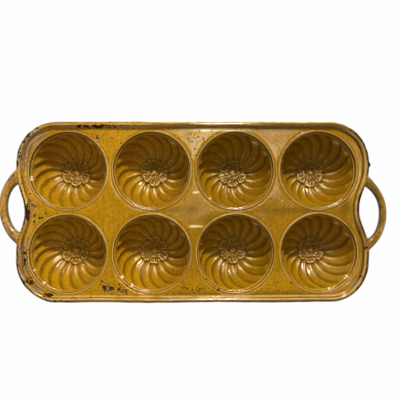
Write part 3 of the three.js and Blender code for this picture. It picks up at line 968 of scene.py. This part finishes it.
class Glaze(Nodes):
    """Node tree of a glaze, with its noises and the colour painted so far."""

    def __init__(self, material):
        super().__init__(material)
        self.place = self.add("TexCoord").outputs["Object"]
        self.x, self.y, self.z = self.add("SeparateXYZ", {"Vector": self.place}).outputs
        self.plan = self.add("CombineXYZ", {0: self.x, 1: self.y}).outputs["Vector"]
        self.upper = self.ramp(self.z, SLAB_TOP - 7 * MM, SLAB_TOP - 6 * MM)
        self.noises = {name: self.noise(self.place, *settings) for name, settings in NOISES.items()}
        self.noises["rubbed"] = self.noise(self.attribute("run", "Vector"), *RUBBING)
        self.colour = self.mix(self.ramp(self.noises["broad"], 0.35, 0.65), "amber", "honey")

    def paint(self, share, colour):
        self.colour = self.mix(share, self.colour, colour)

    def broken(self, finish, low, high):
        """A finish of the piece, weakened by noise."""
        return self.times(self.attribute(finish), self.ramp(self.noises["middle"], low, high))

    def spread(self, finish, noise, reach):
        """A finish of the piece whose edge is broken up by noise."""
        return self.total(self.attribute(finish), (self.math("SUBTRACT", self.noises[noise], 0.5), reach))

    def specks(self, scale, chance):
        """Round specks, one at most in each cell, with the given chance."""
        cells = self.add("TexVoronoi", {"Vector": self.place, "Scale": scale}).outputs
        lot = self.add("TexWhiteNoise", {"Vector": cells["Position"]}).outputs["Value"]
        return self.times(self.math("LESS_THAN", lot, chance), self.ramp(cells["Distance"], 0.45, 0.2))

    def spots(self, spots, unevenness):
        """Round spots on the upper side, with edges that wander."""
        nearest = 1.0
        for x, y, radius in spots:
            away = self.add("VectorMath", {0: self.plan, 1: (x * MM, y * MM, 0.0)}, operation="DISTANCE")
            edge = self.math("SUBTRACT", away.outputs["Value"], radius * MM)
            nearest = self.math("MINIMUM", nearest, edge)
        inside = self.ramp(self.total(nearest, (unevenness, WANDER)), 0.45 * MM, -0.05 * MM)
        return self.times(inside, self.upper)

    def sheen_lines(self, unevenness):
        """The painted lines of sheen on the upper side, with edges that wander."""
        strongest = 0.0
        for x, y, length, width in SHEEN_LINES:
            along = self.math("ABSOLUTE", self.math("SUBTRACT", self.x, x * MM))
            across = self.math("ABSOLUTE", self.math("SUBTRACT", self.y, y * MM))
            beside = self.total(across, (unevenness, WANDER))
            run = self.times(self.ramp(beside, 1.8 * width * MM, 0.2 * width * MM),
                             self.ramp(along, length * MM, 0.4 * length * MM))
            strongest = self.math("MAXIMUM", strongest, run)
        return self.times(strongest, self.upper)


def paint_plain(g):
    """Strokes, mottles and blotches, browner to the right except along the slab's front."""
    for noise, start, full, strength, colour in COLOUR_LAYERS:
        g.paint(g.ramp(g.noises[noise], start, full, strength), colour)
    on_slab = g.times(g.upper, g.ramp(g.z, SLAB_TOP + 1.5 * MM, SLAB_TOP + 0.7 * MM))
    front = g.times(g.ramp(g.y, -55 * MM, -85 * MM, 0.65), on_slab)
    towards_right = g.ramp(g.x, -85 * MM, 30 * MM, 0.42)
    g.paint(g.times(towards_right, g.math("SUBTRACT", 1.0, front)), "shade")


def paint_breaks(g):
    """Dark where the glaze pools and where shade is painted, tan where it runs thin, and pale where it
    breaks on an edge and where highlights are painted.
    """
    # Pooled glaze, with painted shade on the rim and handles and a painted dark reflection on the slab.
    g.paint(g.times(g.broken("pool_and_shade", 0.0, 0.55), 0.85), "pool_and_shade")
    tan = g.mix(g.ramp(g.x, -120 * MM, 0.0), "left_tan", "right_tan")
    long_sides = g.ramp(g.math("ABSOLUTE", g.y), 88 * MM, 98 * MM)
    tan = g.mix(g.times(long_sides, g.ramp(g.x, -75 * MM, -35 * MM)), tan, "rim_tan")
    g.paint(g.times(g.broken("thin", 0.15, 0.6), 0.75), tan)
    # Pale broken glaze, with painted highlights, glints and reflections.
    g.paint(g.times(g.broken("pale", 0.25, 0.6), 0.85), "pale")


def paint_wear(g):
    """Rubbed streaks, worn stretches and chips. Says where the glaze is worn and chipped."""
    rubbed = g.noises["rubbed"]
    streak = g.attribute("streak")
    g.paint(g.times(streak, g.ramp(rubbed, 0.5, 0.34, 0.8)), "dark_streak")
    g.paint(g.times(streak, g.ramp(rubbed, 0.52, 0.68, 0.75)), "light_streak")
    worn = g.ramp(g.spread("worn", "middle", 1.8), 0.42, 0.75, 0.8)
    g.paint(worn, g.mix(g.ramp(rubbed, 0.4, 0.6), "dark_wear", "light_wear"))
    chip = g.ramp(g.spread("chip", "mottle", 2.4), 0.62, 0.8, 0.96)
    g.paint(chip, g.mix(g.ramp(g.noises["fine"], 0.4, 0.6), "brown_chip", "black_chip"))
    return worn, chip


def paint_spots(g):
    """Bare spots, painted glints, painted lines of sheen, dark spots and specks. Says where it is dark."""
    middle, mottle = g.noises["middle"], g.noises["mottle"]
    uneven = g.math("SUBTRACT", mottle, 0.5)
    g.paint(g.spots(BARE_SPOTS, uneven), "bare_spot")
    # Painted reflections: pale lines of sheen on the slab.
    g.paint(g.sheen_lines(g.math("SUBTRACT", g.math("ADD", middle, mottle), 1.0)), "sheen_line")
    # Painted glints on the cups' ledges.
    g.paint(g.times(g.spots(ledge_glints(), uneven), 0.85), "ledge_glint")
    dark = g.spots(DARK_SPOTS, uneven)
    chance = g.total(SPECK_CHANCE, (g.attribute("pits"), SPECK_CHANCE_IN_PITS))
    for cells in SPECK_CELLS:
        dark = g.math("MAXIMUM", dark, g.specks(cells, chance))
    g.paint(g.times(dark, 0.9), "dark_spot")
    return dark


def glaze_material(name, gloss, gloss_below, softness, unevenness, grain):
    """Ochre glaze that follows the finish of each piece. Its gloss may differ below the slab."""
    material = bpy.data.materials.new(name)
    g = Glaze(material)
    middle, mottle, fine = g.noises["middle"], g.noises["mottle"], g.noises["fine"]
    paint_plain(g)
    paint_breaks(g)
    worn, chip = paint_wear(g)
    dark = paint_spots(g)
    bare = g.ramp(g.spread("bare", "broad", 1.2), 0.45, 0.6)
    g.paint(bare, g.mix(g.ramp(fine, 0.35, 0.65), "light_clay", "dark_clay"))

    stripped = g.math("MAXIMUM", bare, chip)
    rough = g.math("MINIMUM", g.total(softness, (middle, 0.1), (worn, 0.3), (stripped, 0.5)), 1.0)
    hollow = g.math("MAXIMUM", dark, chip)
    height = g.total(0.0, (middle, 0.5), (mottle, 0.2), (fine, grain), (hollow, -0.6), (worn, -0.3))
    bump = g.add("Bump", {"Strength": unevenness, "Distance": BUMP_DISTANCE, "Height": height})
    upwards = g.ramp(g.z, SLAB_BOTTOM - 6 * MM, SLAB_TOP - 2 * MM)
    shine = g.total(gloss_below, (upwards, gloss - gloss_below))
    shader = g.add("BsdfPrincipled", {
        "Base Color": g.colour, "Roughness": rough, "Normal": bump.outputs["Normal"], "IOR": 1.5,
        "Specular IOR Level": g.times(shine, g.total(1.0, (stripped, -0.85))),
        "Specular Tint": (1.0, 0.94, 0.76, 1.0),
    })
    g.add("OutputMaterial", {"Surface": shader.outputs[0]})
    return material


# Stage

# Profile of the floor in metres: radius, height
STAGE_PROFILE = (
    (0.5, 0.0), (1.5, 0.0), (3.0, 0.0), (3.4, 0.06), (3.7, 0.25), (3.85, 0.6), (3.9, 1.2), (3.9, 2.0),
)
STAGE_COLUMNS = 96
STAGE_DROP = 0.2 * MM

# Lamps in metres: name, place, width, depth, radiance
LAMPS = (
    ("key_behind", (0.09, 0.80, 0.64), 0.085, 0.075, 575.0),
    ("fill_front", (-0.5, -1.0, 0.55), 0.3, 0.3, 1.6),
)

# Bright panes overhead that mirror in the slab, in metres: name, x, y, width, depth, radiance
PANE_HEIGHT = 1.55
PANE_COLOUR = (1.0, 1.0, 0.9)
WINDOW_PANES = (
    ("pane_back", 0.03, 0.29, 0.22, 0.25, 12.4),
    ("pane_middle", -0.02, 0.03, 0.2, 0.13, 2.2),
    ("pane_right", 0.325, 0.26, 0.2, 0.3, 9.8),
)
SKY_COLOUR = (1.0, 0.9, 0.66, 1.0)
SKY_STRENGTH = 0.23

CAMERA_PLACE = (0.0001, 0.0031, 0.5389)
CAMERA_DEGREES = (1.19, -0.82, -0.15)
CAMERA_LENS = 39.249


def studio_white_material():
    """Matt white that looks white to the camera and in reflections, and takes a soft shadow."""
    material = bpy.data.materials.new("studio_white")
    n = Nodes(material)
    rays = n.add("LightPath").outputs
    mirrored = n.math("MAXIMUM", rays["Is Glossy Ray"], rays["Is Transmission Ray"])
    seen = n.math("MAXIMUM", rays["Is Camera Ray"], mirrored)
    matt = n.add("BsdfDiffuse", {"Color": (0.9, 0.9, 0.9, 1.0)}).outputs[0]
    glow = n.add("Emission", {"Color": (1.0, 1.0, 1.0, 1.0), "Strength": 1.02}).outputs[0]
    mixed = n.add("MixShader", {0: n.times(seen, 0.97), 1: matt, 2: glow})
    n.add("OutputMaterial", {"Surface": mixed.outputs[0]})
    return material


def add_stage():
    """A round white floor that curves up into a low wall, open to the sky."""
    circle = on_circle(full_turn(STAGE_COLUMNS))
    loops = [with_height(radius * circle, height) for radius, height in STAGE_PROFILE]
    faces = grid_faces(len(STAGE_PROFILE), STAGE_COLUMNS)
    faces.append(list(range(STAGE_COLUMNS)))
    floor = add_mesh("studio_floor", np.concatenate(loops), faces, studio_white_material())
    floor.location.z = -STAGE_DROP


def add_area_light(name, place, target, width, depth, radiance, colour=(1.0, 1.0, 1.0)):
    lamp = bpy.data.lights.new(name, "AREA")
    lamp.shape = "RECTANGLE"
    lamp.size = width
    lamp.size_y = depth
    lamp.color = colour
    lamp.energy = radiance * math.pi * width * depth
    light = add_object(name, lamp)
    light.location = place
    light.rotation_euler = (Vector(target) - Vector(place)).to_track_quat("-Z", "Y").to_euler()


def add_lights():
    """Lamps aimed at the slab, panes aimed straight down, and a dim warm sky."""
    for name, place, width, depth, radiance in LAMPS:
        add_area_light(name, place, (0.0, 0.0, SLAB_TOP), width, depth, radiance)
    for name, x, y, width, depth, radiance in WINDOW_PANES:
        add_area_light(name, (x, y, PANE_HEIGHT), (x, y, 0.0), width, depth, radiance, PANE_COLOUR)
    world = bpy.data.worlds.new("studio")
    n = Nodes(world)
    sky = n.add("Background", {"Color": SKY_COLOUR, "Strength": SKY_STRENGTH})
    n.add("OutputWorld", {"Surface": sky.outputs[0]})
    bpy.context.scene.world = world


def add_camera():
    """Almost straight above the pan, as in the photograph."""
    data = bpy.data.cameras.new("camera")
    data.sensor_width = 36.0
    data.lens = CAMERA_LENS
    data.clip_start = 0.01
    camera = add_object("camera", data)
    camera.location = CAMERA_PLACE
    camera.rotation_euler = [math.radians(degrees) for degrees in CAMERA_DEGREES]
    bpy.context.scene.camera = camera


add_camera()
glaze = glaze_material("ochre_glaze", gloss=0.38, gloss_below=0.3, softness=0.08, unevenness=0.6, grain=0.16)
cup_glaze = glaze_material("cup_glaze", gloss=0.45, gloss_below=0.38, softness=0.08, unevenness=0.9,
                           grain=0.36)
add_slab(glaze)
add_rim(glaze)
for handle_node in HANDLES:
    add_handle(handle_node, glaze)
for cup_node in CUPS:
    add_cup(cup_node, cup_glaze)
add_stage()
add_lights()
bpy.context.scene.view_settings.view_transform = "Standard"
